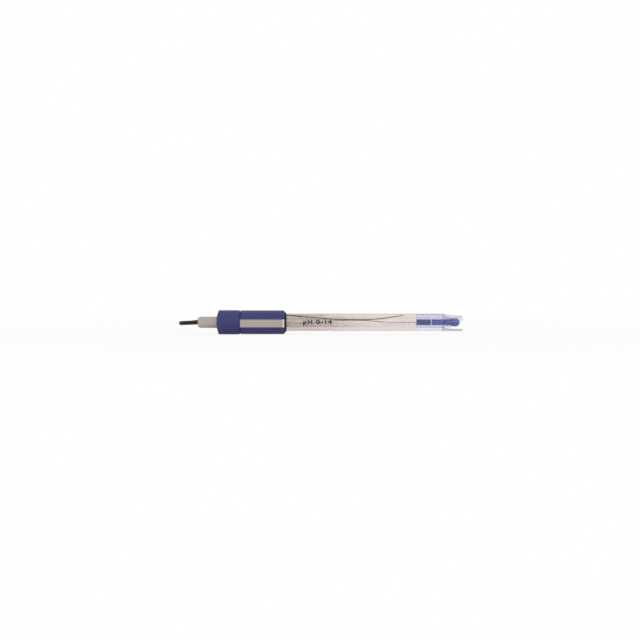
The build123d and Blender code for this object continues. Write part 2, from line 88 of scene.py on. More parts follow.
def shaded(name, colours, roughness, grain, depth, cloud=40.0, settings=None, stretch=(1, 1, 1)):
    # A surface whose colour drifts between two tones in soft clouds, over a fine grain that also breaks up
    # the gloss. grain and cloud are sizes and depth is the grain's height. stretch over 1 packs both closer.
    material, tree, shader = newMaterial(name)
    where = addNode(tree, "ShaderNodeTexCoord").outputs["Object"]
    mapped = addNode(tree, "ShaderNodeMapping", None, {"Vector": where, "Scale": stretch}).outputs["Vector"]
    clouds = addNode(
        tree, "ShaderNodeTexNoise", None, {"Vector": mapped, "Scale": 1 / (cloud * mm), "Detail": 3.0}
    )
    grains = addNode(
        tree, "ShaderNodeTexNoise", None, {"Vector": mapped, "Scale": 1 / (grain * mm), "Detail": 2.0}
    )
    tones = addNode(tree, "ShaderNodeValToRGB", None, {"Fac": clouds.outputs["Fac"]})
    for stop, position, colour in zip(tones.color_ramp.elements, (0.35, 0.65), colours):
        stop.position = position
        stop.color = toLinear(colour)
    uneven = 0.12  # the gloss's share either way
    limits = {"To Min": roughness * (1 - uneven), "To Max": roughness * (1 + uneven)}
    gloss = addNode(tree, "ShaderNodeMapRange", None, {"Value": grains.outputs["Fac"], **limits})
    relief = {"Height": grains.outputs["Fac"], "Strength": 1.0, "Distance": depth * mm}
    bump = addNode(tree, "ShaderNodeBump", None, relief)
    tree.links.new(tones.outputs["Color"], shader.inputs["Base Color"])
    tree.links.new(gloss.outputs["Result"], shader.inputs["Roughness"])
    tree.links.new(bump.outputs["Normal"], shader.inputs["Normal"])
    for socket, value in (settings or {}).items():
        shader.inputs[socket].default_value = value
    return material


def dress(piece, *materials):
    if piece.data.materials:
        piece.data.materials.clear()
    for material in materials:
        piece.data.materials.append(material)


# Mesh helpers

def meshPiece(name, build, sharpAngle=38):
    mesh = bpy.data.meshes.new(name)
    form = bmesh.new()
    build(form)
    bmesh.ops.remove_doubles(form, verts=form.verts, dist=1e-7)
    bmesh.ops.recalc_face_normals(form, faces=form.faces)
    for face in form.faces:
        face.smooth = True
    form.to_mesh(mesh)
    form.free()
    mesh.set_sharp_from_angle(angle=math.radians(sharpAngle))
    piece = bpy.data.objects.new(name, mesh)
    bpy.context.scene.collection.objects.link(piece)
    return piece


def roundedOutline(points, steps=5):
    # points are (station, radius, corner radius): each corner becomes an arc that takes up less than half of
    # the sides next to it
    outline = []
    count = len(points)
    for index, (station, radius, corner) in enumerate(points):
        here = Vector((station, radius))
        before = Vector(points[index - 1][:2])
        after = Vector(points[(index + 1) % count][:2])
        if corner <= 0:
            outline.append(tuple(here))
            continue
        wayIn = (here - before).normalized()
        wayOut = (after - here).normalized()
        half = wayIn.angle(wayOut) / 2
        cut = min(corner * math.tan(half), 0.49 * (here - before).length, 0.49 * (after - here).length)
        start = here - wayIn * cut
        end = here + wayOut * cut
        for step in range(steps + 1):
            t = step / steps
            outline.append(tuple((1 - t) ** 2 * start + 2 * t * (1 - t) * here + t * t * end))
    return outline


def turnedForm(outline, slotOf=None, segments=128):
    # Turns an outline of (station, radius) points round the electrode's axis. Its two ends close on the axis
    # where their radius is 0, and otherwise the outline is a closed loop. slotOf gives the material of the
    # faces from one point to the next, from their middle's station and radius and the first point's index.
    def build(form):
        lift = Vector((0, 0, layout["axisHeight"]))
        rings = []
        for station, radius in outline:
            if radius < 1e-6:
                rings.append([form.verts.new(place(station, 0, 0) + lift)])
                continue
            ring = []
            for step in range(segments):
                angle = 2 * math.pi * step / segments
                y, z = radius * math.cos(angle), radius * math.sin(angle)
                ring.append(form.verts.new(place(station, y, z) + lift))
            rings.append(ring)
        closed = len(rings[0]) > 1
        for index in range(len(rings) if closed else len(rings) - 1):
            after = (index + 1) % len(rings)
            first, second = rings[index], rings[after]
            a, b = outline[index], outline[after]
            slot = slotOf((a[0] + b[0]) / 2, (a[1] + b[1]) / 2, index) if slotOf else 0
            for step in range(segments):
                nextStep = (step + 1) % segments
                corners = [first[step % len(first)], first[nextStep % len(first)]]
                corners += [second[nextStep % len(second)], second[step % len(second)]]
                distinct = list(dict.fromkeys(corners))
                if len(distinct) > 2:
                    form.faces.new(distinct).material_index = slot
    return build


touch = 0.01  # how near a face's middle is to the radius or station that it is taken to lie on


def standIn(piece, body, slot, *replaced):
    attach(piece, body)
    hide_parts(*replaced)


# The camera: a long lens level with the electrode, hardly above it
view = {
    "target": (22.8, 0, 9.8),  # station, y and height it looks at
    "distance": 1.5,  # metres
    "elevation": 1.3,  # degrees
    "frameWidth": 0.436,  # metres that the frame spans at the electrode
}
tilt = math.radians(view["elevation"])
target = place(*view["target"])
cameraData = bpy.data.cameras.new("camera")
cameraData.sensor_width = 36
cameraData.lens = cameraData.sensor_width * view["distance"] / view["frameWidth"]
cameraData.clip_start = 0.05
cameraData.clip_end = 20
camera = bpy.data.objects.new("camera", cameraData)
bpy.context.scene.collection.objects.link(camera)
camera.location = target + view["distance"] * Vector((0, -math.cos(tilt), math.sin(tilt)))
camera.rotation_euler = (target - camera.location).to_track_quat("-Z", "Y").to_euler()
bpy.context.scene.camera = camera

# The lead: it turns back behind the head, lies in a hank there, and goes into its plug
lead = {
    "diameter": 2.9,
    "length": 0.86,  # metres
    "sleeveEnd": -60.3,
    "pointRadius": 0.00085,  # small, because the curve's box grows by it
    "route": [  # (distance from the sleeve's end, y, height)
        (2, 0, 8.25),
        (-4.7, 0, 8.0),
        (-10.7, 4.0, 7.6),
        (-12.8, 10.9, 7.4),
        (-10.1, 17.6, 7.4),
        (-3.8, 21.1, 7.6),
        (9.3, 18.9, 9.7),
        (18.8, 13.2, 10.6),
    ],
    "hankFront": -2.0,  # station of the hank's end nearest the tip
    "tail": [  # (distance from the hank's front, y, height)
        (-1.8, 28.9, 1.6),
        (-1.2, 34.2, 1.6),
        (-2.4, 39.6, 2.9),
        (-6.3, 43.8, 5.5),
        (-11.8, 45.4, 7.25),
        (-17.4, 45.4, 7.25),
    ],
}
hank = {
    "middle": -25.1,
    "y": 23.0,
    "halfRun": 9.75,
    "runShares": (-0.6, 0.0, 0.6),  # the straight runs' points, as shares of halfRun
    "foldRadii": (11.9, 9.0),  # outer and inner turn
    "loops": [(0, 3), (1, 3), (1, 2), (0, 2), (0, 1), (1, 1), (1, 0), (0, 0)],  # (which radius, layer)
    "layerPitch": 2.9,
    "tieLift": 0.45,  # the ties pass under the runs, and the folds sag to the bench
    "foldLift": 0.1,
    "shaftFold": (-60, -30, 0, 30, 60),  # angles of the points in the folds, in degrees
    "lastFold": (-60, -30),
    "plugFold": (120, 150, 180, 210, 240),
    "looseness": 0.25,  # how far a fold strays
    "insideTurn": 0.966,  # how far inside its points the spline passes in a fold
}


def hankPoints():
    # Each loop runs along the front, round the fold by the shaft, back, and round the fold by the plug.
    wobble = random.Random(7)  # the same strays each run
    points = []

    def addRun(side, height, shares):
        for share in shares:
            along = hank["middle"] + share * hank["halfRun"]
            points.append((along, hank["y"] + side, height + hank["tieLift"]))

    def addFoldPoint(end, angle, reach, height):
        turn = math.radians(angle)
        reach /= hank["insideTurn"]
        along = hank["middle"] + end * hank["halfRun"] + reach * math.cos(turn)
        points.append((along, hank["y"] + reach * math.sin(turn), height + hank["foldLift"]))

    base = lead["diameter"] / 2
    for loop, (which, layer) in enumerate(hank["loops"]):
        last = loop == len(hank["loops"]) - 1
        nextWhich, nextLayer = hank["loops"][min(loop + 1, len(hank["loops"]) - 1)]
        radius, nextRadius = hank["foldRadii"][which], hank["foldRadii"][nextWhich]
        height = base + layer * hank["layerPitch"]
        nextHeight = base + nextLayer * hank["layerPitch"]
        addRun(-radius, height, hank["runShares"])
        loose = wobble.uniform(-hank["looseness"], hank["looseness"])
        for angle in hank["lastFold" if last else "shaftFold"]:
            addFoldPoint(1, angle, radius + loose * math.cos(math.radians(angle)), height)
        if last:
            break
        addRun(radius, height, hank["runShares"][::-1])
        loose = wobble.uniform(-hank["looseness"], hank["looseness"])
        for angle in hank["plugFold"]:
            over = (angle - 90) / 180  # the next loop's place is reached by the end of this fold
            blend = over * over * (3 - 2 * over)
            reach = radius + (nextRadius - radius) * blend + loose * math.sin(math.radians(angle - 90))
            addFoldPoint(-1, angle, reach, height + (nextHeight - height) * blend)
    return points


def nurbsCord(name, points, diameter):
    curve = bpy.data.curves.new(name, "CURVE")
    curve.dimensions = "3D"
    curve.resolution_u = 8
    curve.bevel_depth = diameter / 2 * mm / lead["pointRadius"]  # the points' radius scales it back
    curve.bevel_resolution = 5
    curve.use_fill_caps = True
    spline = curve.splines.new("NURBS")
    spline.points.add(len(points) - 1)
    for point, (station, y, height) in zip(spline.points, points):
        point.co = (*place(station, y, height), 1)
        point.radius = lead["pointRadius"]
    spline.order_u = 3
    spline.use_endpoint_u = True
    piece = bpy.data.objects.new(name, curve)
    bpy.context.scene.collection.objects.link(piece)
    return piece


leadPoints = [(lead["sleeveEnd"] + along, y, height) for along, y, height in lead["route"]]
leadPoints += hankPoints()
leadPoints += [(lead["hankFront"] + along, y, height) for along, y, height in lead["tail"]]
leadCord = nurbsCord("leadCord", leadPoints, lead["diameter"])
standIn(leadCord, "electrode", "cable_jacket", "cable", "cable_hank", "cable_tail")
print("lead laid,", len(leadPoints), "points")

# Clear shaft: one moulding whose end is three guard prongs between arched windows
shaft = {
    "radius": 6.0,
    "bore": 4.8,
    "back": -20.0,
    "tailRadius": 5.75,
    "step": 0.4,  # where the full width starts
    "plainRings": (10.0, 40.0, 80.0),
    "end": 120.0,
    "prongs": 3,
    "firstWindow": 78.0,  # its middle's clock angle
    "windowHalf": 52.0,  # half a window's width at the prongs' ends, in degrees
    "edgeRound": 0.28,
    "endRound": 0.5,
    "endShrink": (0.45, 0.2, 0.3),  # by how much outside, bore and sides draw in there
    "columns": 44,
    "rows": 44,
    "edgeSteps": 4,
    "endSteps": 5,
}
shaftFaces = {"outside": 0, "onGel": 1, "onPlug": 2, "guard": 3, "milled": 4}


def buildShaft(form):
    radius, bore, edge = shaft["radius"], shaft["bore"], shaft["edgeRound"]
    wallMiddle = (radius + bore) / 2
    guard = shaft["end"] - layout["plugFront"]
    spread = math.tan(math.radians(shaft["windowHalf"]))
    columns, edgeSteps = shaft["columns"], shaft["edgeSteps"]
    halfShare = 180 / shaft["prongs"]
    turns = [math.pi / 2 * step / edgeSteps for step in range(edgeSteps + 1)]
    # (way into the wall, drop from its face) of a quarter round, off the face and on to it
    offFace = [(edge * (1 - math.sin(a)), edge * (1 - math.cos(a))) for a in turns]
    onFace = [(edge * (1 - math.cos(a)), edge * (1 - math.sin(a))) for a in turns]

    def point(station, clock, r):
        angle = math.radians(clock)
        height = r * math.sin(angle) + layout["axisHeight"] / mm
        return form.verts.new(place(station, -r * math.cos(angle), height))

    def archEdge(t, inset):
        # station and clock half-width of the arch's edge, moved into the wall by inset
        station = shaft["end"] - guard * math.cos(t)
        half = math.atan(spread * math.sin(t))
        alongRate = guard * math.sin(t)
        roundRate = wallMiddle * spread * math.cos(t) / (1 + (spread * math.sin(t)) ** 2)
        size = math.hypot(alongRate, roundRate)
        station -= inset * roundRate / size
        half += inset * alongRate / size / wallMiddle
        return station, math.degrees(half)

    def section(t, centre, shrink=(0, 0, 0), station=None):
        # one closed loop of points round a prong, whose middle clock angle is centre
        outer, inner, side = radius - shrink[0], bore + shrink[1], math.degrees(shrink[2] / wallMiddle)
        loop = []

        def add(inset, r, share):
            edgeStation, half = archEdge(t, inset)
            width = halfShare - half - side
            loop.append(point(edgeStation if station is None else station, centre + share * width, r))

        for j in range(columns + 1):
            add(edge, outer, 2 * j / columns - 1)
        for inset, drop in offFace[1:]:
            add(inset, outer - drop, 1)
        for inset, drop in onFace:
            add(inset, inner + drop, 1)
        for j in range(columns - 1, -1, -1):
            add(edge, inner, 2 * j / columns - 1)
        for inset, drop in offFace[1:]:
            add(inset, inner + drop, -1)
        for inset, drop in onFace[:-1]:
            add(inset, outer - drop, -1)
        return loop

    def skin(first, second, slots):
        for i, slot in enumerate(slots):
            j = (i + 1) % len(slots)
            form.faces.new((first[i], first[j], second[j], second[i])).material_index = slot

    # the points on a prong's two sides, which the cutter leaves frosted
    nearSide, farSide = columns, 2 * columns + 2 * edgeSteps + 1
    prongPoints = farSide + 2 * edgeSteps + 1
    isMilled = [nearSide <= i <= nearSide + 2 * edgeSteps or i >= farSide for i in range(prongPoints)]
    prongSlots = [shaftFaces["milled" if milled else "guard"] for milled in isMilled]
    lastT = math.acos(shaft["endRound"] / guard)
    for prong in range(shaft["prongs"]):
        centre = shaft["firstWindow"] + halfShare * (1 + 2 * prong)
        loops = [section(lastT * row / shaft["rows"], centre) for row in range(shaft["rows"] + 1)]
        for step in range(1, shaft["endSteps"] + 1):
            a = math.pi / 2 * step / shaft["endSteps"]
            shrink = [most * (1 - math.cos(a)) for most in shaft["endShrink"]]
            station = shaft["end"] - shaft["endRound"] * (1 - math.sin(a))
            loops.append(section(lastT, centre, shrink, station))
        for first, second in zip(loops, loops[1:]):
            skin(first, second, prongSlots)
        form.faces.new(loops[-1]).material_index = shaftFaces["guard"]

    ringPoints = shaft["prongs"] * columns

    def ring(station, r):
        return [point(station, shaft["firstWindow"] + 360 * i / ringPoints, r) for i in range(ringPoints)]

    crown = layout["plugFront"] - edge
    outside = [(shaft["back"], bore), (shaft["back"], shaft["tailRadius"])]
    outside += [(shaft["step"], shaft["tailRadius"]), (shaft["step"], radius)]
    outside += [(station, radius) for station in (*shaft["plainRings"], crown)]
    inside = [(station, bore) for station in (crown, layout["plugBack"], layout["gelBack"], shaft["back"])]
    outerRings = [ring(station, r) for station, r in outside]
    innerRings = [ring(station, r) for station, r in inside]
    for first, second in zip(outerRings, outerRings[1:]):
        skin(first, second, [shaftFaces["outside"]] * ringPoints)
    for index, (first, second) in enumerate(zip(innerRings, innerRings[1:])):
        skin(first, second, [shaftFaces["onGel" if index else "onPlug"]] * ringPoints)


def rimBlend(tree, where, centre, rim, cloud):
    # from one tint face on to another at a grazing view, where the wall is seen through its length, with
    # faint clouds of the given size
    facing = addNode(tree, "ShaderNodeLayerWeight", None, {"Blend": 0.3}).outputs["Facing"]
    size = {"Scale": 1 / (cloud * mm), "Detail": 2.0}
    clouds = addNode(tree, "ShaderNodeTexNoise", None, {"Vector": where, **size})
    stray = {"To Min": -0.12, "To Max": 0.12}
    wander = addNode(tree, "ShaderNodeMapRange", None, {"Value": clouds.outputs["Fac"], **stray})
    share = addNode(tree, "ShaderNodeMath", {"use_clamp": True}, {0: facing, 1: wander.outputs["Result"]})
    tints = {"Factor": share.outputs[0], "A": toLinear(centre), "B": toLinear(rim)}
    return addNode(tree, "ShaderNodeMix", {"data_type": "RGBA"}, tints).outputs["Result"]


def clearPlastic(name, ior, centre, rim, ripple=0.0):
    # Polished transparent surface: sharp refraction that turns greyer to the rim. ior is the step from what
    # it touches. ripple is the depth of the faint drawing lines that shiver what shows through it.
    lineWidth, lineStretch = 0.9, (0.05, 1, 1)  # broader than real ones, so that they show
    material, tree, shader = newMaterial(name)
    shader.inputs["Transmission Weight"].default_value = 1.0
    shader.inputs["IOR"].default_value = ior
    shader.inputs["Roughness"].default_value = 0.0
    where = addNode(tree, "ShaderNodeTexCoord").outputs["Object"]
    stretched = {"Vector": where, "Scale": lineStretch}
    mapped = addNode(tree, "ShaderNodeMapping", None, stretched).outputs["Vector"]
    tree.links.new(rimBlend(tree, mapped, centre, rim, lineWidth), shader.inputs["Base Color"])
    if ripple:
        drawn = addNode(tree, "ShaderNodeTexNoise", None, {"Vector": mapped, "Scale": 1 / (lineWidth * mm)})
        relief = {"Height": drawn.outputs["Fac"], "Strength": 1.0, "Distance": ripple * mm}
        bump = addNode(tree, "ShaderNodeBump", None, relief)
        tree.links.new(bump.outputs["Normal"], shader.inputs["Normal"])
    return material


def alongShaft(tree, where, start, end):
    # 0 up to one station and 1 from another
    along = addNode(tree, "ShaderNodeSeparateXYZ", None, {0: where}).outputs["X"]
    span = {"From Min": start * mm - layout["shoulder"], "From Max": end * mm - layout["shoulder"]}
    return addNode(tree, "ShaderNodeMapRange", None, {"Value": along, **span}).outputs["Result"]


def clearJoint(name, centre, rim, haze, cover, headTint=None, clearsBy=None):
    # A clear filling or a bonded joint: light goes straight through, tinted, and only a little is scattered.
    # cover is how much, face on and at the rim. headTint is (tint at the head's end, and the stations between
    # which it fades out). clearsBy is the stations between which the scattering ends.
    tintCloud = 5.0
    material, tree, shader = newMaterial(name)
    where = addNode(tree, "ShaderNodeTexCoord").outputs["Object"]
    tint = rimBlend(tree, where, centre, rim, tintCloud)
    if headTint:
        colour, *fading = headTint
        tints = {"Factor": alongShaft(tree, where, *fading), "A": toLinear(colour), "B": tint}
        tint = addNode(tree, "ShaderNodeMix", {"data_type": "RGBA"}, tints).outputs["Result"]
    shader.inputs["Base Color"].default_value = toLinear(haze)
    shader.inputs["Roughness"].default_value = 0.5
    through = addNode(tree, "ShaderNodeBsdfTransparent", None, {"Color": tint})
    facing = addNode(tree, "ShaderNodeLayerWeight", None, {"Blend": 0.3}).outputs["Facing"]
    limits = {"From Min": 0.3, "To Min": cover[0], "To Max": cover[1]}
    amount = addNode(tree, "ShaderNodeMapRange", None, {"Value": facing, **limits}).outputs["Result"]
    if clearsBy:
        cleared = alongShaft(tree, where, *clearsBy)
        left = addNode(tree, "ShaderNodeMath", {"operation": "SUBTRACT"}, {0: 1.0, 1: cleared}).outputs[0]
        amount = addNode(tree, "ShaderNodeMath", {"operation": "MULTIPLY"}, {0: amount, 1: left}).outputs[0]
    mix = addNode(tree, "ShaderNodeMixShader", None, {"Fac": amount})
    tree.links.new(through.outputs["BSDF"], mix.inputs[1])
    tree.links.new(shader.outputs["BSDF"], mix.inputs[2])
    tree.links.new(mix.outputs["Shader"], tree.nodes["Material Output"].inputs["Surface"])
    return material


# polished outside, with drawing lines that shiver the wires behind it
mouldedPolycarbonate = clearPlastic("mouldedPolycarbonate", 1.50, "#FDFDFD", "#E4E3E2", ripple=0.002)
# bore that gel wets: it hardly bends light, so it all but vanishes
polycarbonateOnGel = clearPlastic("polycarbonateOnGel", 1.11, "#FEFDFD", "#EFEDEC")
# bore bonded to the plug: no surface is left to see
polycarbonateOnPlug = clearJoint("polycarbonateOnPlug", "#FCFCFD", "#EDEDF1", "#F0F0F4", (0.01, 0.02))
# prongs: clear, with a grey outline
guardPolycarbonate = clearJoint("guardPolycarbonate", "#FBFBFD", "#E2E2E9", "#A9A8B4", (0.02, 0.35))
# sides that a cutter left frosted: soft grey lines round the windows
milledPolycarbonate = clearJoint("milledPolycarbonate", "#E9E9EF", "#D5D5DE", "#C6C5D2", (0.35, 0.5))
clearShaft = meshPiece("clearShaft", buildShaft)
dress(
    clearShaft,
    mouldedPolycarbonate,
    polycarbonateOnGel,
    polycarbonateOnPlug,
    guardPolycarbonate,
    milledPolycarbonate,
)
standIn(clearShaft, "electrode", "clear_plastic", "shaft_tube")
clearShaft.visible_shadow = False

# Print on the shaft's near side: a plain range, with rows of ticks over and under it
marks = {
    "words": "pH 0-14",
    "spacing": 1.2,
    "boldness": 0.04,  # added to the font's strokes, as a share of its size
    "start": 11.2,
    "length": 19.7,
    "capHeight": 3.2,
    "middle": 0.5,  # height of the words' middle over the axis
    "inner": 5.99,  # the ink's two faces, as radii
    "outer": 6.025,
    "ticks": [
        {"height": 4.6, "start": 11.4, "pitch": 1.15, "count": 13, "tall": 1.5, "wide": 0.45},
        {"height": -4.6, "start": 11.8, "pitch": 2.3, "count": 9, "tall": 0.8, "wide": 0.3},
    ],
}


def arcAt(height):
    # how far round the shaft a height over the axis is, up from the side that faces the camera
    return shaft["radius"] * math.asin(height / shaft["radius"])


def wrapped(station, arc, radius):
    angle = arc / shaft["radius"]
    height = radius * math.sin(angle) + layout["axisHeight"] / mm
    return place(station, -radius * math.cos(angle), height)


def buildWords(form):
    words = bpy.data.curves.new("words", "FONT")
    words.body = marks["words"]
    words.extrude = 0.1  # gives it two faces, which are then laid on the ink's radii
    words.offset = marks["boldness"]
    words.space_character = marks["spacing"]
    words.resolution_u = 4
    scratch = bpy.data.objects.new("words", words)
    bpy.context.scene.collection.objects.link(scratch)
    bpy.context.view_layer.update()
    flat = scratch.evaluated_get(bpy.context.evaluated_depsgraph_get()).to_mesh()
    form.from_mesh(flat)
    bpy.data.objects.remove(scratch)
    bpy.data.curves.remove(words)
    across = [vert.co.x for vert in form.verts]
    left, wide = min(across), max(across) - min(across)
    tall = marks["capHeight"] / max(vert.co.y for vert in form.verts)
    for vert in form.verts:
        station = marks["start"] + (vert.co.x - left) / wide * marks["length"]
        arc = arcAt(marks["middle"]) + vert.co.y * tall - marks["capHeight"] / 2
        vert.co = wrapped(station, arc, marks["outer"] if vert.co.z > 0 else marks["inner"])


def buildTicks(form):
    for row in marks["ticks"]:
        bottom, top = [arcAt(row["height"]) + half * row["tall"] for half in (-0.5, 0.5)]
        for index in range(row["count"]):
            start = row["start"] + index * row["pitch"]
            end = start + row["wide"]
            corners = [(start, bottom), (end, bottom), (end, top), (start, top)]
            low, high = [
                [form.verts.new(wrapped(station, arc, radius)) for station, arc in corners]
                for radius in (marks["inner"], marks["outer"])
            ]
            form.faces.new(low)
            form.faces.new(high)
            for i in range(4):
                j = (i + 1) % 4
                form.faces.new((low[i], low[j], high[j], high[i]))


printedWords = meshPiece("printedWords", buildWords)
printedTicks = meshPiece("printedTicks", buildTicks)
# screen-printed inks: flat and matt against the glossy shaft
inkFilm = {"roughness": 0.6, "grain": 0.2, "depth": 0.002, "cloud": 1.0}
dress(printedWords, shaded("blackPrintInk", ("#1C1918", "#262221"), **inkFilm))
dress(printedTicks, shaded("greyPrintInk", ("#6A6362", "#787170"), **inkFilm))
for piece in (printedWords, printedTicks):
    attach(piece, "electrode")

# Gel round the stem
gel = {"outer": 4.78, "inner": 2.52}
gelFaces = {"outside": 0, "onGlass": 1}


def gelSlot(station, radius, index):
    return gelFaces["onGlass" if radius < gel["inner"] + touch else "outside"]


gelOutline = [(layout["gelBack"], gel["inner"]), (layout["gelBack"], gel["outer"])]
gelOutline += [(layout["plugBack"], gel["outer"]), (layout["plugBack"], gel["inner"])]
gelColumn = meshPiece("gelColumn", turnedForm(gelOutline, gelSlot))
# clear gel: a faint warm tint, deeper by the head
electrolyteGel = clearJoint(
    "electrolyteGel", "#F6F1EF", "#F1EBE9", "#F0E6E2", (0.02, 0.03), headTint=("#E9E1DE", 10, 50)
)
# its cloudy part round the stem: veils the straight wire near the head
cloudyGel = clearJoint("cloudyGel", "#FFFEFE", "#F8F5F4", "#FFF6F2", (0.42, 0.3), clearsBy=(26, 62))
dress(gelColumn, electrolyteGel, cloudyGel)
gelColumn.visible_shadow = False
standIn(gelColumn, "electrode", "gel", "reference_gel")

# Inner glass: stem and blown bulb
glass = {
    "radius": 2.5,
    "bore": 1.5,
    "back": -10.0,
    "flareStart": 111.9,
    "flareEnd": 113.3,
    "bulbRadius": 2.9,
    "bulbBore": 2.4,
    "tip": 118.0,
    "innerTip": 117.5,
    "dryFrom": 66.0,  # the bore is wet up to here, and holds air from here to the stopper
    "flareSteps": 10,
    "ballSteps": 40,
}
glassFaces = {"bare": 0, "wetted": 1, "inPlug": 2}


def bulbOutline(back, shank, ball, tip):
    # shank, smooth flare, short cylinder and half a ball
    points = [(back, shank)]
    for step in range(glass["flareSteps"] + 1):
        t = step / glass["flareSteps"]
        ease = t * t * (3 - 2 * t)
        station = glass["flareStart"] + (glass["flareEnd"] - glass["flareStart"]) * t
        points.append((station, shank + (ball - shank) * ease))
    centre = tip - ball
    for step in range(1, glass["ballSteps"]):
        angle = math.pi / 2 * step / glass["ballSteps"]
        points.append((centre + ball * math.sin(angle), ball * math.cos(angle)))
    points.append((tip, 0))
    return points


outerGlass = bulbOutline(glass["back"], glass["radius"], glass["bulbRadius"], glass["tip"])
outerGlass[1:1] = [(layout["plugBack"], glass["radius"]), (layout["plugFront"], glass["radius"])]
innerGlass = bulbOutline(glass["back"], glass["bore"], glass["bulbBore"], glass["innerTip"])
innerGlass[1:1] = [(glass["dryFrom"], glass["bore"]), (layout["plugBack"], glass["bore"])]


def glassSlot(station, radius, index):
    if radius < glass["bore"] + touch or index >= len(outerGlass):  # the bore, and the bulb's very tip
        return glassFaces["bare" if glass["dryFrom"] <= station <= layout["plugBack"] else "wetted"]
    if station < layout["plugBack"]:
        return glassFaces["wetted"]
    return glassFaces["inPlug" if station < layout["plugFront"] else "bare"]


stemGlass = meshPiece("stemGlass", turnedForm(outerGlass + innerGlass[::-1], glassSlot))
# drawn glass in air: refraction that draws the edges of the stem and its bore
drawnGlass = clearPlastic("drawnGlass", 1.5, "#FDFDFF", "#DEDDEE")
# the same glass against gel or buffer: almost nothing shows
glassWetted = clearPlastic("glassWetted", 1.11, "#FEFEFE", "#F3F0F2")
# bonded into the plug: only a faint lavender tint
glassInPlug = clearJoint("glassInPlug", "#FCFCFF", "#ECECFC", "#ECEBFC", (0.02, 0.04))
dress(stemGlass, drawnGlass, glassWetted, glassInPlug)
stemGlass.visible_shadow = False
standIn(stemGlass, "electrode", "stem_glass", "glass_stem")

# Blue buffer in the bulb and the stem's end, with a narrow bubble left between it and the stopper
buffer = {"start": 98.8, "radius": 1.48, "ball": 2.38, "tip": 117.48}
# dyed liquid: one saturated blue
dyedBuffer = shaded("dyedBuffer", ("#4A4DA6", "#575BB0"), roughness=0.25, grain=0.3, depth=0.0, cloud=3.0)
bufferOutline = [(buffer["start"], 0)]
bufferOutline += bulbOutline(buffer["start"], buffer["radius"], buffer["ball"], buffer["tip"])
bufferFilling = meshPiece("bufferFilling", turnedForm(bufferOutline))
dress(bufferFilling, dyedBuffer)
standIn(bufferFilling, "electrode", "buffer_blue", "inner_buffer")

# Tip plug with its ribbed nose
plug = {
    "radius": 4.78,
    "bore": 2.52,
    "noseEnd": 111.9,
    "noseRadius": 3.35,
    "ribRadius": 3.75,
    "ribs": (107.1, 109.1, 111.1),
    "ribWidth": 1.1,
}
plugFaces = {"nose": 0, "side": 1, "bore": 2, "back": 3, "front": 4}


def plugSlot(station, radius, index):
    if radius < plug["bore"] + touch:
        return plugFaces["bore"]
    if station < layout["plugBack"] + touch:
        return plugFaces["back"]
    if abs(station - layout["plugFront"]) < touch:
        return plugFaces["front"]
    return plugFaces["side" if station < layout["plugFront"] else "nose"]


# (station, radius, corner radius)
plugOutline = [(layout["plugBack"], plug["bore"], 0), (layout["plugBack"], plug["radius"], 0.1)]
plugOutline += [(layout["plugFront"], plug["radius"], 0.15), (layout["plugFront"], plug["noseRadius"], 0.05)]
ribCorners = [(-0.5, "noseRadius", 0.1), (-0.25, "ribRadius", 0.2)]
ribCorners += [(0.25, "ribRadius", 0.2), (0.5, "noseRadius", 0.1)]
for rib in plug["ribs"]:
    for share, size, corner in ribCorners:
        plugOutline.append((rib + share * plug["ribWidth"], plug[size], corner))
plugOutline += [(plug["noseEnd"], plug["noseRadius"], 0.2), (plug["noseEnd"], plug["bore"], 0)]
tipPlug = meshPiece("tipPlug", turnedForm(roundedOutline(plugOutline), plugSlot))
# clear moulded plastic whose ribs turn lavender at their rims, from the blue behind them
clearPlugPlastic = clearJoint("clearPlugPlastic", "#F6F5FE", "#D6D5EC", "#CFCEE8", (0.05, 0.4))
# bonded to the shaft, and so without a step in refraction
plugBonded = clearPlastic("plugBonded", 1.0, "#F4F4F9", "#E6E6EE")
# bonded to the glass: a faint lavender tint
plugOnGlass = clearJoint("plugOnGlass", "#F9F9FF", "#EAE9FB", "#EAE9FC", (0.02, 0.04))
# the end that gel wets: where the warm gel gives way to lavender
plugOnGel = clearPlastic("plugOnGel", 1.11, "#F0EFFA", "#D8D7EA")
# turned face, left frosted: a grey line across the shaft
machinedPlugFace = clearJoint("machinedPlugFace", "#E6E5F4", "#CFCEE2", "#DAD9EE", (0.7, 0.8))
dress(tipPlug, clearPlugPlastic, plugBonded, plugOnGlass, plugOnGel, machinedPlugFace)
tipPlug.visible_shadow = False
standIn(tipPlug, "electrode", "plug_plastic", "tip_plug")
print("shaft, gel, glass and plug built")

# Cap, with the chamfer that meets the head's in a V
cap = {
    "back": -47.5,
    "floor": -43.05,
    "front": -31.52,
    "hole": 3.87,
    "bore": 7.02,
    "radius": 8.248,
    "coneRadius": 4.2,
    "coneLength": 1.3,
    "coneCorner": 0.6,
    "edge": 0.65,
    "line": 1.1,  # a fine turned line, this far from the front
    "lineWidth": 0.3,
    "lineDepth": 0.2,
}
lineBack = cap["front"] - cap["line"]
capOutline = [  # (station, radius, corner radius)
    (cap["back"], cap["hole"], 0),
    (cap["back"], cap["coneRadius"], 0.15),
    (cap["back"] + cap["coneLength"], cap["radius"], cap["coneCorner"]),
    (lineBack, cap["radius"], 0.04),
    (lineBack, cap["radius"] - cap["lineDepth"], 0),
    (lineBack + cap["lineWidth"], cap["radius"] - cap["lineDepth"], 0),
    (lineBack + cap["lineWidth"], cap["radius"], 0.04),
    (cap["front"] - cap["edge"], cap["radius"], 0.05),
    (cap["front"], cap["radius"] - cap["edge"], 0.05),
    (cap["front"], cap["bore"], 0),
    (cap["floor"], cap["bore"], 0),
    (cap["floor"], cap["hole"], 0),
]
blueCap = meshPiece("blueCap", turnedForm(roundedOutline(capOutline)), sharpAngle=30)
